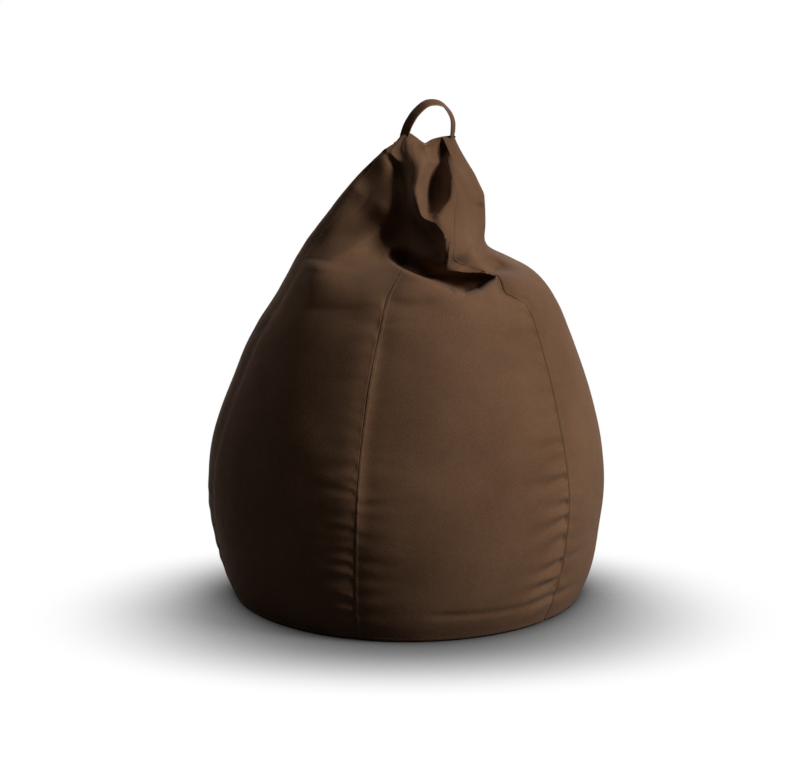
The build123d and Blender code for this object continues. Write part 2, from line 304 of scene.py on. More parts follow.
def skinReach(tree, bearing, height):
    # distance from the leaning axis to the outside of the solids, at a bearing and a height in mm
    ray = Vector((math.sin(math.radians(bearing)), -math.cos(math.radians(bearing)), 0))
    axis = Vector((axisLean * height * mm, 0, height * mm))
    far = coverPlan["farOut"]
    hit = tree.ray_cast(axis + ray * far, -ray, far)[0]
    return (hit - axis).dot(ray) if hit else None


coverTree = treeOf([f"{name}_panel" for name in coverPlan["panels"]])


def smooth01(value):
    value = np.clip(value, 0, 1)
    return value * value * (3 - 2 * value)


def solidReach(bearing, height):
    # the reach of the panels, carried straight across the zip's slot
    height = min(max(height, coverPlan["hem"] + 0.1), coverPlan["crown"] - 0.1)
    low, high = coverPlan["slot"]
    if low - 1 < height < high + 1:
        edge = coverPlan["slotEdge"]
        below, above = skinReach(coverTree, bearing, low - edge), skinReach(coverTree, bearing, high + edge)
        return below + (above - below) * (height - low + edge) / (high - low + 2 * edge)
    return skinReach(coverTree, bearing, height)


# the solids' reach on an even net of bearings and heights, eased where the neck is slack
reachNet = {
    "bearingStart": 0.7,
    "bearingStep": 2,
    "heightStep": 5,
    "easeFrom": 600,
    "easeFull": 690,
    "easeBearings": 3.2,
    "easeHeights": 8,
    "easeReach": 12,
}


def blurred(values, width, axis):
    reach = reachNet["easeReach"]
    spread = np.arange(-reach, reach + 1)
    weights = np.exp(-0.5 * (spread / width) ** 2)
    weights /= weights.sum()
    if axis == 1:
        return sum(weight * np.roll(values, step, 1) for weight, step in zip(weights, spread))
    longer = np.pad(values, ((reach, reach), (0, 0)), "reflect", reflect_type="odd")
    rows = len(values)
    return sum(weight * longer[reach + step :][:rows] for weight, step in zip(weights, spread))


def measureReach():
    plan = reachNet
    bearings = np.arange(0, 360, plan["bearingStep"]) + plan["bearingStart"]
    levels = np.arange(coverPlan["hem"], coverPlan["crown"] - 1, plan["heightStep"])
    levels = np.append(levels, coverPlan["crown"])
    table = np.array([[solidReach(bearing, level) for bearing in bearings] for level in levels])
    eased = blurred(table, plan["easeBearings"] / plan["bearingStep"], 1)
    eased = blurred(eased, plan["easeHeights"] / plan["heightStep"], 0)
    share = smooth01((levels - plan["easeFrom"]) / (plan["easeFull"] - plan["easeFrom"]))[:, None]
    return levels, table * (1 - share) + eased * share


netLevels, netReach = measureReach()


def coverReach(bearing, height):
    across = (np.asarray(bearing, float) - reachNet["bearingStart"]) % 360 / reachNet["bearingStep"]
    up = np.interp(height, netLevels, np.arange(len(netLevels)))
    column = across.astype(int)
    row = min(int(up), len(netLevels) - 2)
    right = (column + 1) % netReach.shape[1]
    column = column % netReach.shape[1]
    share = across - np.floor(across)
    low = netReach[row, column] * (1 - share) + netReach[row, right] * share
    high = netReach[row + 1, column] * (1 - share) + netReach[row + 1, right] * share
    return low + (high - low) * (up - row)


# the front seams wander where the neck is folded: height and bearing
seamWander = {
    "front_right": [(0, 48), (130, 50.5), (500, 51), (618, 51.6), (640, 51.2), (652, 47.2),
                    (660, 44.8), (668, 45.6), (680, 49.5), (688, 52), (694, 51.5), (700, 46.5),
                    (706, 39), (712, 31.5), (718, 25.5), (724, 22), (730, 21), (750, 21),
                    (772, 22.4), (813, 33), (833, 37), (853, 38.5), (880, 38), (904, 42),
                    (942, 47)],
    "front_left": [(0, -15.5), (500, -15.5), (665, -14), (719, -11), (760, -12), (850, -14), (942, -15)],
}


def seamBearing(name, height):
    if name in seamWander:
        heights, bearings = zip(*seamWander[name])
        return np.interp(height, heights, bearings)
    return float(coverPlan["seams"][name])


def coverRows():
    plan = coverPlan
    low, high = plan["slot"]
    stops = [plan["hem"], low, high, plan["neckFrom"], plan["neckTo"], plan["crown"]]
    steps = [plan["rowStep"], plan["rowStep"], plan["rowStep"], plan["neckStep"], plan["crownStep"]]
    rows = []
    for start, stop, step in zip(stops, stops[1:], steps):
        count = max(2, round((stop - start) / step))
        rows += list(np.linspace(start, stop, count, endpoint=False))
    return np.array(rows + [plan["crown"]])


def panelGrid(index):
    # points of one panel, row by row from seam to seam, and how far each is from both seams
    plan = coverPlan
    names = list(plan["seams"])
    first, second = names[index], names[(index + 1) % len(names)]
    edge = np.array(plan["edgeSteps"])
    columns = 2 * len(edge) + plan["middleColumns"]
    points, fromFirst, toSecond = [], [], []
    for height in heights:
        start, stop = seamBearing(first, height), seamBearing(second, height)
        stop += 360 if stop < start else 0
        rough = np.linspace(start, stop, plan["roughColumns"])
        reach = coverReach(rough, height)
        line = outward(rough) * reach[:, None]
        length = np.concatenate([[0], np.cumsum(np.linalg.norm(np.diff(line, axis=0), axis=1))]) / mm
        edgeHere = edge * min(1, plan["edgeShare"] * length[-1] / edge[-1])
        middle = np.linspace(edgeHere[-1], length[-1] - edgeHere[-1], plan["middleColumns"] + 2)[1:-1]
        along = np.concatenate([edgeHere, middle, length[-1] - edgeHere[::-1]])
        bearing = np.interp(along, length, rough)
        if plan["slot"][0] - plan["slotSpan"] < height < plan["slot"][1] + plan["slotSpan"]:
            for end in plan["slotBearings"]:
                near = np.argmin(np.abs(bearing - end))
                if 0 < near < columns - 1 and abs(bearing[near] - end) < plan["slotSnap"]:
                    bearing[near] = end
        reach = coverReach(bearing, height)
        row = outward(bearing) * reach[:, None]
        row[:, 0] += axisLean * height * mm
        row[:, 2] = height * mm
        points.append(row)
        fromFirst.append(along)
        toSecond.append(length[-1] - along)
    return np.array(points), np.array(fromFirst), np.array(toSecond)


heights = coverRows()
grids, fromFirst, toSecond = [], [], []
for index in range(len(coverPlan["panels"])):
    grid, near, far = panelGrid(index)
    grids.append(grid)
    fromFirst.append(near)
    toSecond.append(far)
print("cover laid out,", sum(grid.shape[0] * grid.shape[1] for grid in grids), "points")


def gridNormals(allGrids):
    # outward normals, shared along each seam so that neighbours move together
    normals = []
    for grid in allGrids:
        across = np.gradient(grid, axis=1)
        upward = np.gradient(grid, axis=0)
        normal = np.cross(across, upward)
        normals.append(normal / np.maximum(np.linalg.norm(normal, axis=-1, keepdims=True), 1e-12))
    for index in range(len(normals)):
        here, following = normals[index], normals[(index + 1) % len(normals)]
        shared = here[:, -1] + following[:, 0]
        shared /= np.linalg.norm(shared, axis=-1, keepdims=True)
        here[:, -1] = shared
        following[:, 0] = shared
    return normals


# folds at the back and sides of the slack neck: a line of bearings and heights, how far it
# stands out or is pressed in, how wide it is on each side, and how far it hangs down
folds = [
    dict(name="baseCrease", line=[(2, 62), (24, 55), (44, 55), (66, 60)], out=-2.5, left=9, right=8),
    dict(name="rearSlump", line=[(112, 726), (140, 708), (168, 702), (196, 716), (214, 742)],
         out=-6, left=18, right=20),
    dict(name="rearLip", line=[(112, 752), (140, 734), (168, 728), (194, 744)],
         out=5, left=16, right=16, drop=6),
    dict(name="rearFold", line=[(158, 938), (150, 870), (162, 800), (150, 748)],
         out=-7, left=20, right=16, sharp=0.2),
    dict(name="rearRidge", line=[(182, 938), (180, 870), (186, 800), (178, 752)],
         out=4, left=22, right=20),
    dict(name="rearLeftFold", line=[(206, 936), (202, 860), (206, 800), (214, 752), (220, 700)],
         out=-6, left=20, right=18),
    dict(name="leftDrape", line=[(236, 930), (238, 866), (240, 806), (244, 756), (248, 700)],
         out=-5, left=18, right=18),
    dict(name="leftSwag", line=[(226, 690), (240, 672), (256, 676), (266, 692)],
         out=-6, left=16, right=18),
    dict(name="rightDrape", line=[(122, 936), (128, 872), (124, 818)], out=-4, left=16, right=18),
]

# folds that the front shows, drawn over the picture: a line of picture points running down or to
# the right, how far it comes forward, and its width on the left or below and on the right or above.
# a late fold comes after the crown is pinched, an even one doesn't mind which way the skin faces
frontFolds = [
    dict(name="noseRidge", line=[(405, 140), (406, 170), (414, 196), (423, 218), (434, 223),
                                 (442.5, 234), (444.5, 250), (444.5, 274)],
         out=11, left=3.5, right=15, sharp=0.5, taper=(0.12, 0.05)),
    dict(name="crownNose", line=[(407, 133), (408, 142), (409, 155), (411.5, 172), (415, 194)],
         out=4, left=3.5, right=13, taper=(0.1, 0.35), late=True, even=True),
    dict(name="crownBrow", line=[(430, 140), (429, 153), (423, 170), (418.5, 190)],
         out=34, left=13, right=5, taper=(0.25, 0.4), late=True, even=True),
    dict(name="valleyWall", line=[(398, 138), (400, 160), (402, 178), (407, 200), (416, 222),
                                  (429, 238), (437, 254), (438, 268)],
         out=-15, left=9, right=4.5, taper=(0.3, 0.1)),
    dict(name="valleyFoot", line=[(386, 252), (398, 262), (413, 271), (431, 278.5), (446, 286),
                                  (456, 291.5)],
         out=-84, left=2, right=12, taper=(0.3, 0.12), even=True),
    dict(name="bellyCrest", line=[(390, 262), (418, 275), (442, 289), (464, 298), (482, 290), (500, 278)],
         out=11, left=15, right=4, sharp=0.3, taper=(0.25, 0.15)),
    dict(name="lip", line=[(446, 259), (462, 261.5), (478, 266.5), (497, 272)],
         out=6, left=8, right=14, taper=(0.06, 0.2)),
    dict(name="lipEdge", line=[(444, 271), (462, 273), (480, 274), (496, 274)],
         out=8, left=2.5, right=8, taper=(0.06, 0.2)),
    dict(name="pocket", line=[(441, 137), (441, 160), (438, 182), (433, 199), (426, 219)],
         out=-34, left=9, right=8, sharp=0.2, taper=(0.08, 0.1)),
    dict(name="pocketTop", line=[(424, 146), (436, 149), (451, 147)],
         out=-24, left=11, right=4, taper=(0.2, 0.2)),
    dict(name="pocketFloor", line=[(434, 162), (430, 188), (427, 214)],
         out=-16, left=4, right=9, taper=(0.2, 0.1)),
    dict(name="pocketLip", line=[(429, 156), (418, 180), (417, 196), (425, 217)],
         out=13, left=8, right=5, sharp=0.2, taper=(0.35, 0.15)),
    dict(name="pocketWall", line=[(450, 140), (448, 180), (446, 200), (431, 220)],
         out=13, left=3.5, right=12, sharp=0.3, taper=(0.15, 0.12)),
    dict(name="sideHollow", line=[(479, 202), (476, 222), (477, 244)], out=-12, left=8, right=12),
    dict(name="sideRidge", line=[(472, 199), (468, 218), (465, 240), (469, 252), (481, 262), (492, 270)],
         out=8, left=13, right=4, taper=(0.2, 0.1)),
    dict(name="shoulderHollow", line=[(482, 258), (490, 266), (504, 269.5), (522, 271)],
         out=-30, left=4, right=13, taper=(0.3, 0.5), even=True),
    dict(name="shoulderSwell", line=[(496, 270), (516, 280), (540, 294)], out=6, left=14, right=8),
    dict(name="seamCrease", line=[(497, 272), (501, 290), (514, 297), (527, 302), (531, 326)],
         out=-9, left=6, right=5, sharp=0.4),
    dict(name="bellyLine", line=[(380, 301), (418, 307), (456, 300), (496, 286)],
         out=-6, left=9, right=7),
    dict(name="leftRidge", line=[(392, 202), (378, 229), (348, 250), (306, 270)],
         out=13, left=12, right=8, sharp=0.3),
    dict(name="leftBand", line=[(376, 216), (352, 231), (330, 240), (302, 252)],
         out=-11, left=11, right=10, taper=(0.5, 0.2)),
    dict(name="grooveBank", line=[(395, 145), (391, 165), (390, 185), (389, 205), (384, 226)],
         out=12, left=18, right=7, taper=(0.2, 0.25)),
    dict(name="leftFall", line=[(390, 146), (374, 168), (356, 190)],
         out=-14, left=14, right=12, taper=(0.1, 0.3)),
    dict(name="leftFine", line=[(374, 190), (364, 205), (350, 216)],
         out=-2.5, left=3, right=3, sharp=0.4, taper=(0.4, 0.4)),
    dict(name="leftCorner", line=[(314, 258), (306, 280), (308, 306)],
         out=-5, left=8, right=3, taper=(0.3, 0.4)),
    dict(name="leftPlane", line=[(312, 258), (310, 280), (315, 310)],
         out=17, left=10, right=34, taper=(0.3, 0.5)),
    dict(name="seamFall", line=[(384, 300), (374, 345), (366, 400), (359, 450), (356, 500), (355, 570)],
         out=8, left=40, right=7, taper=(0.3, 0.2)),
    dict(name="planeEdge", line=[(296, 310), (340, 311), (388, 307)],
         out=-4, left=20, right=6, taper=(0.5, 0.4)),
]


# the pocket under the lip: its corners in the picture, clockwise, and the height in the picture and
# the place from front to back of its foot and its top
underLip = {
    "corners": [(430, 272), (443, 271), (497, 273), (495, 279), (480, 290.5), (466, 295.5), (456, 292),
                (430, 278)],
    "foot": (295, -100),
    "top": (273, -114),
    "soft": 5,
}

# how a fold falls off beside its line and at its ends, and which skin counts as facing the camera
foldShape = {"spread": 2.6, "sharpFall": 1.6, "taper": (0.2, 0.2), "frontSteps": 8,
             "facingFrom": 0.1, "facingSoft": 0.4, "evenSoft": 0.3}


def roundedLine(points, perSpan=12):
    # a line through the points, rounded at each of them
    points = np.array(points, float)
    out = []
    for k in range(len(points) - 1):
        spots = points[[max(k - 1, 0), k, k + 1, min(k + 2, len(points) - 1)]]
        for t in np.linspace(0, 1, perSpan, endpoint=k == len(points) - 2):
            weights = [-0.5 * t + t * t - 0.5 * t**3, 1 - 2.5 * t * t + 1.5 * t**3,
                       0.5 * t + 2 * t * t - 1.5 * t**3, -0.5 * t * t + 0.5 * t**3]
            out.append(np.array(weights) @ spots)
    return np.array(out)


def foldLine(fold):
    # the fold's line on the skin
    out = []
    for bearing, level in roundedLine(fold["line"]):
        level = min(level, coverPlan["crown"])
        reach = coverReach(bearing, level)
        ray = outward(np.array(bearing))
        out.append((ray[0] * reach + axisLean * level * mm, ray[1] * reach, level * mm))
    return np.array(out)


def besideLine(points, line, wide):
    # the points near a line; for each its way from the line, the line's step there and how far along
    near = np.all((points > line.min(0) - wide) & (points < line.max(0) + wide), axis=1)
    which = np.nonzero(near)[0]
    start, step = line[:-1], np.diff(line, axis=0)
    gap = points[which][:, None, :] - start[None]
    along = np.clip(np.einsum("vsk,sk->vs", gap, step) / np.sum(step * step, axis=1), 0, 1)
    away = gap - along[..., None] * step[None]
    nearest = np.linalg.norm(away, axis=-1).argmin(1)
    pick = np.arange(len(which))
    progress = (nearest + along[pick, nearest]) / len(step)
    return which, away[pick, nearest], step[nearest], progress


def foldShare(fold, distance, onRight, progress):
    # 1 on the fold's line, less to its sides and towards its ends
    width = np.where(onRight, fold["right"], fold["left"])
    sharp = fold.get("sharp", 0)
    share = (1 - sharp) * np.exp(-((distance / width) ** 2))
    share = share + sharp * np.exp(-foldShape["sharpFall"] * distance / width)
    opening, closing = fold.get("taper", foldShape["taper"])
    return share * smooth01(progress / opening) * smooth01((1 - progress) / closing)


def pressFold(points, normals, fold):
    wide = foldShape["spread"] * max(fold["left"], fold["right"]) * mm
    which, away, step, progress = besideLine(points, foldLine(fold), wide)
    rightward = np.einsum("vk,vk->v", np.cross(step, normals[which]), away)
    share = foldShare(fold, np.linalg.norm(away, axis=-1) / mm, rightward > 0, progress)
    move = np.zeros_like(points)
    move[which] = normals[which] * (share * fold["out"] * mm)[:, None]
    move[which, 2] -= share * fold.get("drop", 0) * mm
    return move


def pictureSpots(points):
    # where points fall in the picture, and the directions from them to the camera
    tilt = math.radians(cameraView["tiltDown"])
    wide, high = cameraView["picture"]
    gap = points - np.array(cameraView["place"])
    ahead = gap @ np.array((0, math.cos(tilt), -math.sin(tilt)))
    above = gap @ np.array((0, math.sin(tilt), math.cos(tilt)))
    scale = cameraView["focalPixels"] / ahead
    spots = np.stack([wide / 2 + gap[:, 0] * scale, high / 2 - above * scale], -1)
    return spots, -gap / np.linalg.norm(gap, axis=1, keepdims=True)


def frontFold(spots, fold):
    # how much of a fold each picture point takes
    line = roundedLine(fold["line"], foldShape["frontSteps"])
    wide = foldShape["spread"] * max(fold["left"], fold["right"])
    which, away, step, progress = besideLine(spots, line, wide)
    leftward = step[:, 0] * away[:, 1] - step[:, 1] * away[:, 0]
    share = np.zeros(len(spots))
    share[which] = foldShare(fold, np.linalg.norm(away, axis=-1), leftward <= 0, progress)
    return share


def hollowLip(points):
    # pushes the skin back to the pocket's depth
    spots, toCamera = pictureSpots(points)
    corners = np.array(underLip["corners"], float)
    edges = np.roll(corners, -1, axis=0) - corners
    gap = spots[:, None] - corners[None]
    inside = (edges[:, 0] * gap[..., 1] - edges[:, 1] * gap[..., 0]) / np.linalg.norm(edges, axis=1)
    share = smooth01(inside.min(1) / underLip["soft"]) * (points[:, 1] < 0)
    levels, depths = zip(underLip["top"], underLip["foot"])
    target = np.interp(spots[:, 1], levels, depths) * mm
    return toCamera * (share * np.minimum(points[:, 1] - target, 0) / -toCamera[:, 1])[:, None]


def pressFront(points, normals, late):
    spots, toCamera = pictureSpots(points)
    start = foldShape["facingFrom"]
    facing = smooth01((np.sum(normals * toCamera, axis=1) - start) / foldShape["facingSoft"])
    fromAxis = points * (1, 1, 0) - np.outer(points[:, 2] * axisLean, (1, 0, 0))
    rounded = np.sum(fromAxis * toCamera, axis=1) / np.linalg.norm(fromAxis, axis=1)
    even = smooth01((rounded - start) / foldShape["evenSoft"])
    forward = np.zeros(len(points))
    for fold in frontFolds:
        if fold.get("late", False) == late:
            forward += frontFold(spots, fold) * fold["out"] * (even if fold.get("even") else facing)
    return toCamera * (forward * mm)[:, None]


def pressFolds(allGrids):
    normals = gridNormals(allGrids)
    for grid, normal in zip(allGrids, normals):
        points = grid.reshape(-1, 3)
        flat = normal.reshape(-1, 3)
        moves = sum(pressFold(points, flat, fold) for fold in folds)
        grid += (moves + pressFront(points, flat, False)).reshape(grid.shape)


# the crown is pinched to a crest between the two ends of the handle, with a notch in it
crown = {
    "from": 882,
    "thick": 7,
    "crest": [(-74, 944), (-62, 957), (-52, 963), (-42, 963), (-27, 953), (-13, 943), (-7, 939),
              (0, 943), (10, 948), (30, 952), (56, 954), (66, 948)],
    "crestEase": np.linspace(-4, 4, 5),
    "outlineHeights": [732, 774, 836, 877, 914, 930, 942.5],
    "outlineLeft": [-213, -184, -134, -98, -65, -48, -28],
    "outlineRight": [164, 162, 159, 139, 115, 105, 98],
    "outlineFrom": (730, 780),
    "outlineEase": 1.5,
    "rolls": [(0.4, 1.5), (0.78, 2.1), (0.95, 1.7)],
}
handleEnds = []
for side in ("left", "right"):
    low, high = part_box(f"handle_tail_{side}")
    handleEnds.append((Vector(low) + Vector(high)) / 2)
spanLine = (handleEnds[1] - handleEnds[0]).normalized()
acrossLine = Vector((-spanLine.y, spanLine.x, 0))
handleMiddle = (handleEnds[0] + handleEnds[1]) / 2
span, across, handleSpot = np.array(spanLine), np.array(acrossLine), np.array(handleMiddle)


def crestHeight(along):
    spots, levels = zip(*crown["crest"])
    steps = crown["crestEase"]
    return sum(np.interp(along + step, spots, levels) for step in steps) / len(steps)


def alongAcross(points):
    apart = points - handleSpot
    return (apart @ span) / mm, (apart @ across) / mm


def sideOutlines(allGrids):
    # how far each row reaches to the left and to the right
    lowest = np.min([grid[..., 0].min(1) for grid in allGrids], 0) / mm
    highest = np.max([grid[..., 0].max(1) for grid in allGrids], 0) / mm
    return lowest, highest


def pinchCrown(allGrids, outlines):
    share = smooth01((heights - crown["from"]) / (coverPlan["crown"] - crown["from"]))
    most = max(np.abs(alongAcross(grid)[1][-1]).max() for grid in allGrids)
    for grid in allGrids:
        offset = alongAcross(grid)[1]
        move = offset * share[:, None] * (crown["thick"] / most - 1) * mm
        grid += move[..., None] * across
    # each row's two sides are drawn back to the outline
    left = np.interp(heights, crown["outlineHeights"], crown["outlineLeft"])
    right = np.interp(heights, crown["outlineHeights"], crown["outlineRight"])
    start, full = crown["outlineFrom"]
    high = smooth01((heights - start) / (full - start))
    left = outlines[0] * (1 - high) + left * high
    right = outlines[1] * (1 - high) + right * high
    lowest, highest = sideOutlines(allGrids)
    ease = crown["outlineEase"]
    toLeft, toRight = (blurred(gap[:, None], ease, 0)[:, 0] for gap in (left - lowest, right - highest))
    middle = (lowest + highest) / 2
    for grid in allGrids:
        place = grid[..., 0] / mm
        leftShare = smooth01((middle[:, None] - place) / (middle - lowest)[:, None])
        rightShare = smooth01((place - middle[:, None]) / (highest - middle)[:, None])
        grid[..., 0] += (leftShare * toLeft[:, None] + rightShare * toRight[:, None]) * mm
        grid[..., 2] += share[:, None] * (crestHeight(alongAcross(grid)[0]) - coverPlan["crown"]) * mm


# broad unevenness of the filled belly, and small dents in the slack leatherette
unevenness = [
    {"size": 230, "deep": 5.0, "seed": 3.1, "from": 60, "full": 200},
    {"size": 90, "deep": 2.0, "seed": 11.7, "from": 60, "full": 300},
    {"size": 46, "deep": 1.0, "seed": 23.9, "from": 610, "full": 720},
]
dentsEnd = {"from": 880, "over": 60}


def dentCover(allGrids):
    normals = gridNormals(allGrids)
    for grid, normal in zip(allGrids, normals):
        for dent in unevenness:
            fade = smooth01((heights - dent["from"]) / (dent["full"] - dent["from"]))
            fade *= 1 - smooth01((heights - dentsEnd["from"]) / dentsEnd["over"])
            size, shift = dent["size"] * mm, Vector((dent["seed"], 0, dent["seed"]))
            for row in np.nonzero(fade > 0)[0]:
                for column in range(grid.shape[1]):
                    swell = noise.noise(Vector(grid[row, column]) / size + shift) * dent["deep"]
                    grid[row, column] += normal[row, column] * (swell * fade[row] * mm)


# short wrinkles that the sewing draws in beside each seam: a dip between two banks
puckerPlan = {
    "spacing": 34,
    "spacingShare": (0.45, 1.5),
    "low": 60,
    "high": 640,
    "length": (45, 115),
    "lengthFall": 1.4,
    "deep": (0.8, 2.4),
    "swells": (0.6, 0.4, 97),
    "wide": (5.5, 9.5),
    "slope": (-0.16, 0.10),
    "seamGap": 9,
    "ripple": [(-1, 0), (0.55, 1.7), (0.35, -1.8)],
    "seed": 5,
    "strong": {("front", "second"): 4.0, ("front_left", "second"): 1.7, ("front", "first"): 1.0},
    "weak": 0.8,
}


def puckerSeams(allGrids):
    plan = puckerPlan
    draw = random.Random(plan["seed"])
    steady, swell, wave = plan["swells"]
    normals = gridNormals(allGrids)
    for name, grid, normal, near, far in zip(coverPlan["panels"], allGrids, normals, fromFirst, toSecond):
        moves = np.zeros(grid.shape[:2])
        for side, distance in (("first", near), ("second", far)):
            strength = plan["strong"].get((name, side), plan["weak"])
            level = plan["low"]
            while level < plan["high"]:
                length = draw.uniform(*plan["length"])
                deep = draw.uniform(*plan["deep"]) * (steady + swell * math.sin(level / wave))
                wide = draw.uniform(*plan["wide"])
                slope = draw.uniform(*plan["slope"])
                offset = (heights[:, None] - level - slope * distance) / (wide * (1 + distance / length))
                fade = np.exp(-(distance / length) ** 2 * plan["lengthFall"])
                ripple = sum(tall * np.exp(-(offset - place) ** 2) for tall, place in plan["ripple"])
                moves += strength * deep * (smooth01(distance / plan["seamGap"]) * fade) * ripple
                level += plan["spacing"] * draw.uniform(*plan["spacingShare"])
        grid += normal * (moves * mm)[..., None]


# each seam: a groove, with the turned-under edge standing up on the second panel's side
seamShape = {
    "groove": 0.8,
    "grooveWide": 1.0,
    "welt": 0.6,
    "weltFrom": 0.6,
    "weltWide": 7.2,
    "soft": 1.2,
    "pull": 2.0,
    "pullWide": 20,
    "fadeFrom": 660,
    "fadeTo": 730,
    "left": {"front_right": 0.4},
    "leftElse": 0.12,
}


def shapeSeams(allGrids):
    shape = seamShape
    normals = gridNormals(allGrids)
    names = list(coverPlan["seams"])
    for index, (grid, normal, near, far) in enumerate(zip(allGrids, normals, fromFirst, toSecond)):
        high = smooth01((heights - shape["fadeFrom"]) / (shape["fadeTo"] - shape["fadeFrom"]))[:, None]
        for seam, distance in ((names[index], near), (names[(index + 1) % len(names)], far)):
            lift = -shape["groove"] * np.exp(-(distance / shape["grooveWide"]) ** 2)
            lift -= shape["pull"] * np.exp(-(distance / shape["pullWide"]) ** 2)
            if distance is near:
                edge = smooth01((near - shape["weltFrom"]) / shape["soft"])
                lift += shape["welt"] * edge * (1 - smooth01((near - shape["weltWide"]) / shape["soft"]))
            left = shape["left"].get(seam, shape["leftElse"])
            grid += normal * (lift * (1 - (1 - left) * high) * mm)[..., None]


def rollTops(allGrids):
    # each panel's top edge turns in over the crest
    rolled = []
    for grid in allGrids:
        offset = alongAcross(grid)[1][-1]
        rows = [grid]
        for share, rise in crown["rolls"]:
            row = grid[-1] - (offset * share * mm)[:, None] * across
            row[:, 2] += rise * mm
            rows.append(row[None])
        rolled.append(np.concatenate(rows))
    return rolled


solidOutlines = sideOutlines(grids)
pressFolds(grids)
pinchCrown(grids, solidOutlines)
for grid in grids:
    grid += hollowLip(grid.reshape(-1, 3)).reshape(grid.shape)
for grid, normal in zip(grids, gridNormals(grids)):
    grid += pressFront(grid.reshape(-1, 3), normal.reshape(-1, 3), True).reshape(grid.shape)
dentCover(grids)
puckerSeams(grids)
shapeSeams(grids)
seamGrids = [grid.copy() for grid in grids]
seamNormals = gridNormals(seamGrids)
grids = rollTops(grids)
print("cover folded")


def meshPiece(name, points, faces, finish, smoothShade=True):
    mesh = bpy.data.meshes.new(name)
    mesh.from_pydata([tuple(p) for p in points], [], faces)
    mesh.validate()
    mesh.materials.append(finish)
    if smoothShade:
        mesh.shade_smooth()
    piece = bpy.data.objects.new(name, mesh)
    scene.collection.objects.link(piece)
    return piece


def gridFaces(rows, columns, skip=None):
    faces = []
    for row in range(rows - 1):
        for column in range(columns - 1):
            if skip is not None and skip[row, column]:
                continue
            corner = row * columns + column
            faces.append((corner, corner + 1, corner + columns + 1, corner + columns))
    return faces


def ringFaces(rows, count, start=0):
    # quads between closed rings of points
    faces = []
    for row in range(rows - 1):
        for k in range(count):
            near, far = start + row * count + k, start + row * count + (k + 1) % count
            faces.append((near, far, far + count, near + count))
    return faces


def tubeFaces(rows, count, start=0):
    # rings with both ends closed
    last = start + (rows - 1) * count
    ends = [tuple(range(start, start + count))[::-1], tuple(range(last, last + count))]
    return ringFaces(rows, count, start) + ends


def fanFaces(count):
    # triangles from the first point to the ring after it
    return [(0, 1 + k, 1 + (k + 1) % count) for k in range(count)]


def settle(piece, body, nodes=()):
    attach(piece, body)
    if nodes:
        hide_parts(*nodes)


def thicken(piece, amount, offset=-1):
    thick = piece.modifiers.new("thickness", "SOLIDIFY")
    thick.thickness = amount * mm
    thick.offset = offset


def slotFaces(grid):
    # faces that the zip's slot takes out of a panel
    low, high = coverPlan["slot"]
    first, last = coverPlan["slotBearings"]
    middle = (grid[:-1, :-1] + grid[1:, 1:]) / 2
    bearing = np.degrees(np.arctan2(middle[..., 0], -middle[..., 1])) % 360
    level = middle[..., 2] / mm
    return (bearing > first) & (bearing < last) & (level > low) & (level < high)


def makePanels():
    for name, grid in zip(coverPlan["panels"], grids):
        skip = slotFaces(grid) if name.startswith("rear") else None
        faces = gridFaces(*grid.shape[:2], skip)
        piece = meshPiece(f"{name}_leather", grid.reshape(-1, 3), faces, leather)
        thicken(piece, coverPlan["thick"])
        settle(piece, "cover", [f"{name}_panel"])


makePanels()
print("panels made")

# cap: a strip that closes the crest between the rolled edges
capPlan = {"half": 53, "wide": 2.2, "sink": 1.2, "arch": 0.8, "thick": 1.0, "steps": 60, "acrossSteps": 5}


def makeCap():
    plan = capPlan
    points = []
    for along in np.linspace(-plan["half"], plan["half"], plan["steps"]):
        top = crestHeight(np.array(along)) + crown["rolls"][-1][1] - plan["sink"]
        for share in np.linspace(-1, 1, plan["acrossSteps"]):
            spot = handleSpot + span * along * mm + across * share * plan["wide"] * mm
            points.append((spot[0], spot[1], (top - plan["arch"] * share * share) * mm))
    cap = meshPiece("crest_cap", points, gridFaces(plan["steps"], plan["acrossSteps"]), leather)
    thicken(cap, plan["thick"])
    settle(cap, "cover", ["top_cap"])


# handle: one strap from tail to tail, its loop drawn in the leaning plane above the hinge line
strapPlan = {
    "width": 20,
    "tailWidth": 9,
    "thick": 3.8,
    "round": 1.5,
    "lean": 25,
    "tail": 30,
    "tailSteps": 8,
    "loop": [(-55, 0), (-52.5, 24), (-46.5, 43), (-38, 59), (-22, 75.5), (-4, 79.5), (16, 74.5),
             (33, 59), (43.5, 45), (50, 30), (53.5, 14), (55, 0)],
    "loopSteps": 9,
    "bend": (-3, 10),
    "twist": [(0, 34), (0.1, 34), (0.2, 26), (0.42, 8), (0.55, 4), (0.68, 26), (0.8, 46), (1, 50)],
    "widens": (-9, 3),
    "edgeFaces": (10, 11, 0, 4, 5, 6),
}
hinge = [joint for joint in frame["record"]["behaviour"]["joints"] if joint["name"] == "handle_flop"][0]
hingeMiddle = np.array(hinge["pos_m"])


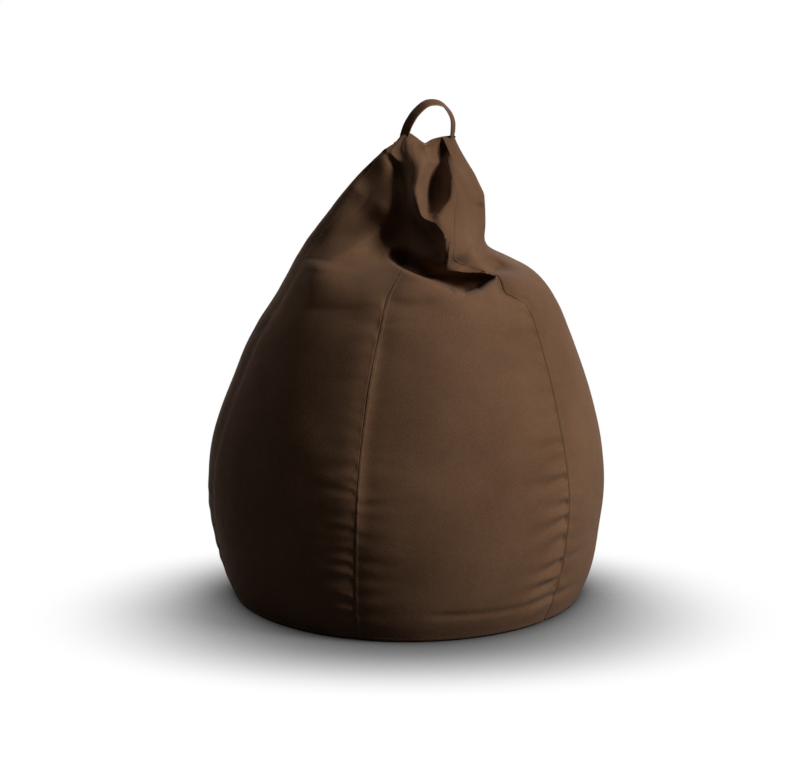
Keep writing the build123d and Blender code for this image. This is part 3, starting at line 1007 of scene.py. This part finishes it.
def strapLine():
    # the strap's middle line, its directions across and off its face, half widths and heights
    plan = strapPlan
    lean = math.radians(plan["lean"])
    up = np.array((0, 0, 1))
    rise = up * math.cos(lean) - across * math.sin(lean)
    loopNormal = across * math.cos(lean) + up * math.sin(lean)
    loop = roundedLine(plan["loop"], plan["loopSteps"])
    bendFrom, bendOver = plan["bend"]
    drops = np.linspace(-plan["tail"], bendFrom, plan["tailSteps"])
    tails = [[(end[0], drop) for drop in drops] for end in (loop[0], loop[-1])]
    flat = np.concatenate([tails[0], loop, tails[1][::-1]])
    lift = flat[:, 1]
    bent = smooth01((lift - bendFrom) / bendOver)[:, None]
    points = hingeMiddle + (flat[:, :1] * span + flat[:, 1:] * (up * (1 - bent) + rise * bent)) * mm
    along = np.gradient(points, axis=0)
    along /= np.linalg.norm(along, axis=1, keepdims=True)
    wide = across * (1 - bent) + loopNormal * bent
    spots, angles = zip(*plan["twist"])
    twist = np.radians(np.interp(np.linspace(0, 1, len(points)), spots, angles))
    wide -= along * np.sum(wide * along, 1, keepdims=True)
    wide /= np.linalg.norm(wide, axis=1, keepdims=True)
    face = np.cross(along, wide)
    wide = wide * np.cos(twist)[:, None] + face * np.sin(twist)[:, None]
    face = np.cross(along, wide)
    start, stop = plan["widens"]
    widened = smooth01((lift - start) / (stop - start))
    half = (plan["tailWidth"] + (plan["width"] - plan["tailWidth"]) * widened) / 2
    return points, wide, face, half, lift


def makeStrap():
    plan = strapPlan
    points, wide, face, half = strapLine()[:4]
    edge, thick = plan["round"], plan["thick"] / 2
    # the section: which side each corner point is on, and its places across and off the face
    ring = []
    for sideW, sideF in ((1, 1), (-1, 1), (-1, -1), (1, -1)):
        for angle in (0, 45, 90) if sideW * sideF > 0 else (90, 45, 0):
            turn = math.radians(angle)
            deep = thick - edge + edge * math.sin(turn)
            ring.append((sideW, sideW * edge * (math.cos(turn) - 1), sideF * deep))
    verts = []
    for point, w, f, h in zip(points, wide, face, half):
        verts += [point + (w * (side * h + inset) + f * deep) * mm for side, inset, deep in ring]
    count = len(ring)
    strap = meshPiece("handle_strap", verts, tubeFaces(len(points), count), leather)
    strap.data.materials.append(plain["strapEdge"])
    for polygon in strap.data.polygons[: (len(points) - 1) * count]:
        polygon.material_index = 1 if polygon.index % count in plan["edgeFaces"] else 0
    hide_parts("carry_handle", "handle_tail_left", "handle_tail_right")
    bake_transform(strap)


# stitches: short arched capsules, sunk at both ends
stitchPlan = {"length": 4.4, "gap": 1.9, "radius": 0.42, "sides": 6, "rings": 5, "sink": 0.45}


def stitchesAlong(points, normals, plan, verts, faces):
    steps = np.linalg.norm(np.diff(points, axis=0), axis=1)
    travel = np.concatenate([[0], np.cumsum(steps)]) / mm
    rings, sides = plan["rings"], plan["sides"]
    for start in np.arange(plan["gap"], travel[-1] - plan["length"], plan["length"] + plan["gap"]):
        spots = start + np.linspace(0, plan["length"], rings)
        centres = np.stack([np.interp(spots, travel, points[:, k]) for k in range(3)], 1)
        ups = np.stack([np.interp(spots, travel, normals[:, k]) for k in range(3)], 1)
        along = centres[-1] - centres[0]
        along /= np.linalg.norm(along)
        faces += tubeFaces(rings, sides, len(verts))
        for t, centre, up in zip(np.linspace(0, 1, rings), centres, ups):
            arch = math.sin(math.pi * t)
            size = plan["radius"] * (0.5 + 0.5 * arch) * mm
            side = np.cross(along, up)
            side /= np.linalg.norm(side)
            middle = centre + up * (arch - plan["sink"]) * plan["radius"] * mm
            for k in range(sides):
                angle = 2 * math.pi * k / sides
                verts.append(middle + (side * math.cos(angle) + up * math.sin(angle)) * size)


def makeStitches(name, lines, body, nodes, plan=stitchPlan):
    verts, faces = [], []
    for points, normals in lines:
        stitchesAlong(np.array(points), np.array(normals), plan, verts, faces)
    piece = meshPiece(name, verts, faces, plain["brownThread"])
    settle(piece, body, nodes)


def acrossPanel(index, distance, fromRow, toRow):
    # the line on a panel at one distance from its first seam
    grid, normal, near = seamGrids[index], seamNormals[index], fromFirst[index]
    rows = range(fromRow, toRow)
    points = [[np.interp(distance, near[row], grid[row, :, k]) for k in range(3)] for row in rows]
    normals = [[np.interp(distance, near[row], normal[row, :, k]) for k in range(3)] for row in rows]
    return points, normals


def rowAt(height):
    return int(np.argmin(np.abs(heights - height)))


def ringAt(height, panels):
    # the line round the given panels at one height
    row = rowAt(height)
    points = np.concatenate([seamGrids[index][row] for index in panels])
    normals = np.concatenate([seamNormals[index][row] for index in panels])
    keep = np.concatenate([[True], np.linalg.norm(np.diff(points, axis=0), axis=1) > 1e-5])
    return points[keep], normals[keep]


seamStitch = {
    "distance": 5.2,
    "seamFrom": 4,
    "rearFrom": 40,
    "topRows": 3,
    "baseHeight": 6.5,
    "zipHeights": (9.5, 30.5),
    "zipBeyond": 1,
    "strapInset": 3.2,
    "strapFrom": 24,
    "strapStitch": {"length": 3.4, "gap": 1.5},
    "tackStitch": {"length": 2.2, "gap": 0.5},
}


def sewSeams():
    plan = seamStitch
    for index, seam in enumerate(coverPlan["seams"]):
        first = rowAt(plan["rearFrom"] if seam == "rear" else plan["seamFrom"])
        line = acrossPanel(index, plan["distance"], first, len(heights) - plan["topRows"])
        makeStitches(f"{seam}_seam_stitches", [line], "cover", [f"seam_thread_{seam}"])
    panels = coverPlan["panels"]
    rings = [ringAt(plan["baseHeight"], range(len(panels)))]
    rear = [index for index, name in enumerate(panels) if name.startswith("rear")]
    start, stop = coverPlan["slotBearings"]
    for height in plan["zipHeights"]:
        points, normals = ringAt(height, rear)
        bearing = np.degrees(np.arctan2(points[:, 0], -points[:, 1])) % 360
        inside = (bearing > start - plan["zipBeyond"]) & (bearing < stop + plan["zipBeyond"])
        rings.append((points[inside], normals[inside]))
    makeStitches("base_seam_stitches", rings, "cover", ["seam_thread_base"])


def sewStrap():
    plan = seamStitch
    points, wide, face, half, lift = strapLine()
    keep = lift > plan["strapFrom"]
    lines = []
    for side in (-1, 1):
        for front in (-1, 1):
            inset = wide * (side * (half - plan["strapInset"]) * mm)[:, None]
            edge = points + inset + face * (front * strapPlan["thick"] / 2 * mm)
            lines.append((edge[keep], face[keep] * front))
    makeStitches("strap_edge_stitches", lines, "handle", [], dict(stitchPlan, **plan["strapStitch"]))


# bar tacks: close bars of thread through the crest at both ends of the handle
tackPlan = {"along": (-55, 55), "inset": 6, "half": 7, "levels": (8, 14, 20), "bars": 9, "fewest": 5,
            "reach": 40}


def sewTacks():
    plan = tackPlan
    tree = BVHTree.FromPolygons([Vector(p) for p in skinPoints], skinFaces)
    lines = []
    for end in plan["along"]:
        for level in plan["levels"]:
            for front in (-1, 1):
                hits, normals = [], []
                for step in np.linspace(-plan["half"], plan["half"], plan["bars"]):
                    along = end - math.copysign(plan["inset"], end) + step
                    spot = handleMiddle + spanLine * along * mm + acrossLine * front * plan["reach"] * mm
                    spot.z = (crestHeight(np.array(along)) - level) * mm
                    hit, normal = tree.ray_cast(spot, acrossLine * -front, 2 * plan["reach"] * mm)[:2]
                    if hit:
                        hits.append(tuple(hit))
                        normals.append(tuple(normal if normal.dot(acrossLine) * front > 0 else -normal))
                if len(hits) >= plan["fewest"]:
                    lines.append((hits, normals))
    short = dict(stitchPlan, **seamStitch["tackStitch"])
    makeStitches("handle_tack_stitches", lines, "cover", ["handle_bar_tacks"], short)


# base: a flat disc with a little slack in it, its rim turned up to the hem
basePlan = {
    "rings": 16,
    "spokes": 120,
    "inset": 0.0012,
    "slack": 1.6,
    "slackEnds": (0.55, 0.35),
    "waveScale": 14,
    "seed": 4.2,
    "rim": 1.3,
    "rimStarts": (0.94, 0.06),
    "floor": 0.15,
    "thick": 1.2,
}


def makeBase():
    plan = basePlan
    count = plan["spokes"]
    spokes = np.arange(count) * 360 / count
    reach = coverReach(spokes, coverPlan["hem"]) - plan["inset"]
    slackFrom, slackOver = plan["slackEnds"]
    rimFrom, rimOver = plan["rimStarts"]
    points = [(0, 0, (plan["floor"] + plan["slack"]) * mm)]
    for ring in range(1, plan["rings"] + 1):
        share = ring / plan["rings"]
        rise = plan["rim"] * smooth01((share - rimFrom) / rimOver)
        for spoke, far in zip(spokes, reach):
            turn = math.radians(spoke)
            x, y = far * share * math.sin(turn), -far * share * math.cos(turn)
            spot = Vector((x * plan["waveScale"], y * plan["waveScale"], plan["seed"]))
            wave = 0.5 + 0.5 * noise.noise(spot)
            slack = plan["slack"] * wave * (1 - smooth01((share - slackFrom) / slackOver))
            points.append((x, y, (plan["floor"] + slack + rise) * mm))
    sides = ringFaces(plan["rings"], count, 1)
    faces = fanFaces(count) + [(near, outer, outerFar, far) for near, far, outerFar, outer in sides]
    base = meshPiece("base_leather", points, faces, leather)
    thicken(base, plan["thick"], 1)
    settle(base, "cover", ["base_panel"])


# zip: coil teeth in place of the plain strips, finishes for the rest
coilPlan = {"pitch": 1.7, "wire": 0.42, "sides": 5, "perTurn": 8, "deep": 1.0, "looks": 361}


def makeCoil(name, node, body="cover"):
    plan = coilPlan
    low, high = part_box(node)
    tree = treeOf([node])
    level = (low[2] + high[2]) / 2 / mm
    bearings = np.linspace(*coverPlan["slotBearings"], plan["looks"])
    reach = [skinReach(tree, bearing, level) for bearing in bearings]
    found = [(bearing, r) for bearing, r in zip(bearings, reach) if r]
    bearings, reach = np.array(found).T
    travel = np.concatenate([[0], np.cumsum(np.radians(np.diff(bearings)) * reach[:-1])]) / mm
    turns = int(travel[-1] / plan["pitch"])
    spots = np.linspace(0, travel[-1], turns * plan["perTurn"])
    angle = np.linspace(0, 2 * math.pi * turns, len(spots))
    bearing = np.interp(spots, travel, bearings)
    far = np.interp(spots, travel, reach) + (np.cos(angle) - 1) * plan["deep"] * mm
    path = outward(bearing) * far[:, None]
    path[:, 0] += axisLean * level * mm
    path[:, 2] = (level + np.sin(angle) * ((high[2] - low[2]) / 2 / mm - plan["wire"])) * mm
    along = np.gradient(path, axis=0)
    along /= np.linalg.norm(along, axis=1, keepdims=True)
    side = np.cross(along, outward(bearing))
    side /= np.linalg.norm(side, axis=1, keepdims=True)
    up = np.cross(side, along)
    verts, sides = [], plan["sides"]
    for k in range(sides):
        turn = 2 * math.pi * k / sides
        verts.append(path + (side * math.cos(turn) + up * math.sin(turn)) * plan["wire"] * mm)
    verts = np.stack(verts, 1).reshape(-1, 3)
    coil = meshPiece(name, verts, tubeFaces(len(path), sides), plain["zipCoil"])
    settle(coil, body, [node])


def dress(node, finish):
    for place in frame["nodes"][node].material_slots:
        place.material = finish


def makeZips():
    for owner in ("cover", "liner"):
        for half in ("upper", "lower"):
            dress(f"{owner}_zip_tape_{half}", plain["zipTape"])
            makeCoil(f"{owner}_zip_coil_{half}", f"{owner}_zip_teeth_{half}")
        dress(f"{owner}_zip_stops", plain["zipMetal"])
        dress(f"{owner}_zip_slider", plain["zipMetal"])
    dress("cover_zip_pull", plain["zipMetal"])


# liner bag and its filling, kept clear of the folded cover
linerPlan = {
    "clear": 9,
    "tries": 3,
    "columns": 144,
    "rowStep": 9,
    "foot": 0.3,
    "top": 622,
    "slotMargin": 6,
    "plainReach": 0.3,
    "crinkle": 2.2,
    "crinkleScale": 30,
    "crinkleFrom": 4,
    "zipRows": 6,
    "thick": 0.8,
    "topSwell": 10,
    "endRings": 14,
    "endCrinkle": 2.0,
    "endScale": 22,
}
beadPlan = {"clear": 0.011, "crown": 0.006}


def insideCover(tree, points):
    clear = linerPlan["clear"] * mm
    kept = []
    for point in points:
        point = Vector(point)
        for _ in range(linerPlan["tries"]):
            near, normal = tree.find_nearest(point)[:2]
            out = (point - near).dot(normal)
            if out < -clear:
                break
            point = point - normal * (out + clear)
        kept.append(point)
    return np.array(kept)


def linerRow(tree, bearings, level):
    # one row of the liner's side; the solids' zip slot is passed over
    plan = linerPlan
    low, high = coverPlan["slot"][0] - plan["slotMargin"], coverPlan["slot"][1] + plan["slotMargin"]
    look = level
    if low < level < high:
        look = low if level < (low + high) / 2 else high
    reach = [skinReach(tree, bearing, look) or plan["plainReach"] for bearing in bearings]
    row = outward(bearings) * np.array(reach)[:, None]
    row[:, 0] += axisLean * level * mm
    row[:, 2] = level * mm
    return row


def makeLiner():
    plan = linerPlan
    tree = BVHTree.FromPolygons([Vector(p) for p in skinPoints], skinFaces)
    sideTree = treeOf(["liner_side"])
    bearings = np.arange(plan["columns"]) * 360 / plan["columns"]
    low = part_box("liner_side")[0][2] / mm
    levels = np.linspace(low + plan["foot"], plan["top"], round((plan["top"] - low) / plan["rowStep"]))
    side = np.array([linerRow(sideTree, bearings, level) for level in levels])
    for row in range(plan["crinkleFrom"], len(side)):
        for column in range(plan["columns"]):
            crinkle = 0.5 + 0.5 * noise.noise(Vector(side[row, column]) * plan["crinkleScale"])
            side[row, column] -= outward(bearings[column]) * crinkle * plan["crinkle"] * mm
    clear = insideCover(tree, side.reshape(-1, 3)).reshape(side.shape)
    clear[: plan["zipRows"]] = side[: plan["zipRows"]]
    faces = ringFaces(len(clear), plan["columns"])
    cloth = meshPiece("liner_side_cloth", clear.reshape(-1, 3), faces, plain["linerCloth"])
    thicken(cloth, plan["thick"])
    settle(cloth, "cover", ["liner_side"])
    makeLinerEnd("liner_top_cloth", clear[-1], plan["topSwell"], "liner_top")
    makeLinerEnd("liner_base_cloth", clear[0], 0, "liner_base")
    makeBeads(clear)


def makeLinerEnd(name, rim, swell, node):
    # a disc inside the rim: swollen and crinkled on top, flat below
    plan = linerPlan
    middle = rim.mean(0)
    count, rings = len(rim), plan["endRings"]
    points = [middle + np.array((0, 0, swell * mm))]
    for ring in range(1, rings + 1):
        share = ring / rings
        for spot in rim:
            place = middle + (spot - middle) * share
            crinkle = noise.noise(Vector(place) * plan["endScale"]) * (1 - share) * plan["endCrinkle"]
            place[2] = spot[2] * share + middle[2] * (1 - share)
            if swell:
                place[2] += (swell * (1 - share**2) + crinkle) * mm
            points.append(place)
    faces = fanFaces(count) + ringFaces(rings, count, 1)
    if swell:
        faces = [face[::-1] for face in faces]
    piece = meshPiece(name, points, faces, plain["linerCloth"])
    thicken(piece, plan["thick"])
    settle(piece, "cover", [node])


def makeBeads(side):
    # the heap of beads that fills the liner
    levels = side[:, :, 2].mean(1)
    axis = np.stack([axisLean * levels, np.zeros(len(side)), levels], 1)
    heap = []
    for row in range(1, len(side) - 1):
        away = side[row] - axis[row]
        reach = np.linalg.norm(away[:, :2], axis=1, keepdims=True)
        heap.append(axis[row] + away * (1 - beadPlan["clear"] / reach))
    heap = np.array(heap)
    count = side.shape[1]
    points = list(heap.reshape(-1, 3)) + [heap[0].mean(0), heap[-1].mean(0) + (0, 0, beadPlan["crown"])]
    low, high = len(points) - 2, len(points) - 1
    last = (len(heap) - 1) * count
    faces = ringFaces(len(heap), count)
    faces += [(low, (k + 1) % count, k) for k in range(count)]
    faces += [(high, last + k, last + (k + 1) % count) for k in range(count)]
    beads = meshPiece("bead_heap", points, faces, plain["foamBeads"])
    settle(beads, "cover", ["bead_fill"])


skinPoints, skinFaces = [], []
for grid in grids:
    start = len(skinPoints)
    skinPoints += [tuple(point) for point in grid.reshape(-1, 3)]
    skinFaces += [tuple(start + corner for corner in face) for face in gridFaces(*grid.shape[:2])]

makeCap()
makeStrap()
print("cap and strap made")
sewSeams()
sewStrap()
sewTacks()
print("stitches sewn")
makeBase()
makeZips()
makeLiner()
print("base, zips, liner and filling made")

# floor, backdrop and lamps
stageLook = {
    "white": (1, 1, 1, 1),
    "floorTone": (0.86, 0.86, 0.86, 1),
    "bounceTone": (0.14, 0.14, 0.14, 1),
    "floorShine": {"Roughness": 0.9, "Specular_IOR_Level": 0.1},
    "floorSize": 9.0,
    "ambient": 0.012,
    # the painted shadow in the floor's glow: its middle, size and fade, the occlusion reach, how much of
    # the floor it takes and how deep it is, and the painted shade towards the front
    "shadowMiddle": (0, -0.17, 0),
    "shadowSize": (0.80, 0.50, 1),
    "shadowFade": (0.5, 1.0),
    "contactReach": 0.5,
    "contactSamples": 16,
    "paintedShadowShare": (0.85, 1),
    "paintedShadowPower": 3.0,
    "frontPlaces": (-0.52, -0.05),
    "frontShades": (0.60, 1.12),
}


def seenStraight(tree):
    # rays that show the backdrop itself: the camera's, mirrored ones and those through glass
    rays = addNode(tree, "ShaderNodeLightPath").outputs
    total = rays["Is Camera Ray"]
    for kind in ("Is Glossy Ray", "Is Transmission Ray"):
        total = maths(tree, "ADD", total, rays[kind], clamp=True)
    return total


def floorFinish():
    look = stageLook
    finish, tree, shader = newFinish("paleFloor")
    # pale to the camera, darker to light that bounces, and with painted shade where the bag overhangs it
    straight = seenStraight(tree)
    tone = mixColours(tree, straight, look["bounceTone"], look["floorTone"])
    contact = addNode(tree, "ShaderNodeAmbientOcclusion", {"samples": look["contactSamples"]},
                      Distance=look["contactReach"], Color=tone)
    setInputs(shader, Base_Color=contact.outputs["Color"], **look["floorShine"])
    # the glow is white far out and carries a painted shadow: it dims evenly round the bag and towards the
    # front
    place = objectPlace(tree)
    shifted = vectorMaths(tree, "SUBTRACT", place, look["shadowMiddle"])
    away = vectorMaths(tree, "LENGTH", vectorMaths(tree, "DIVIDE", shifted, look["shadowSize"]))
    fade = mapRange(tree, away, look["shadowFade"], curve="SMOOTHSTEP")
    paintedContactShadow = maths(tree, "POWER", contact.outputs["AO"], look["paintedShadowPower"])
    depth = addNode(tree, "ShaderNodeSeparateXYZ", Vector=place).outputs["Y"]
    front = mapRange(tree, depth, look["frontPlaces"], look["frontShades"])
    shade = maths(tree, "MULTIPLY", paintedContactShadow, front)
    rim = mixColours(tree, fade, shade, look["white"])
    glow = addNode(tree, "ShaderNodeEmission", Strength=1.0, Color=rim).outputs["Emission"]
    seen = maths(tree, "MULTIPLY", mapRange(tree, fade, after=look["paintedShadowShare"]), straight)
    mixed = mixShaders(tree, seen, shader.outputs["BSDF"], glow)
    setInputs(tree.nodes["Material Output"], Surface=mixed)
    return finish


def makeStage():
    half = stageLook["floorSize"] / 2
    corners = [(-half, -half, 0), (half, -half, 0), (half, half, 0), (-half, half, 0)]
    floor = meshPiece("floor", corners, [(0, 1, 2, 3)], floorFinish(), False)

    world = bpy.data.worlds.new("studio")
    scene.world = world
    world.use_nodes = True
    tree = world.node_tree
    ambient = tree.nodes["Background"]
    setInputs(ambient, Color=stageLook["white"], Strength=stageLook["ambient"])
    backdrop = addNode(tree, "ShaderNodeBackground", Strength=1.0, Color=stageLook["white"])
    shaders = [node.outputs["Background"] for node in (ambient, backdrop)]
    setInputs(tree.nodes["World Output"], Surface=mixShaders(tree, seenStraight(tree), *shaders))


lamps = {
    "keyLamp": {"place": (3.3, -1.7, 2.6), "aim": (0, 0, 0.5), "size": 1.1, "watts": 244},
    "topLamp": {"place": (-0.5, 0.1, 3.5), "aim": (0, 0, 0.4), "size": 2.0, "watts": 16},
    "backLamp": {"place": (0.2, 3.4, 2.4), "aim": (0, 0, 0.5), "size": 2.0, "watts": 52},
}


def makeLamps():
    for name, lamp in lamps.items():
        data = bpy.data.lights.new(name, "AREA")
        data.size = lamp["size"]
        data.energy = lamp["watts"]
        light = bpy.data.objects.new(name, data)
        light.location = lamp["place"]
        aim = Vector(lamp["aim"]) - Vector(lamp["place"])
        light.rotation_euler = aim.to_track_quat("-Z", "Y").to_euler()
        scene.collection.objects.link(light)


makeStage()
makeLamps()
print("stage and lamps set")
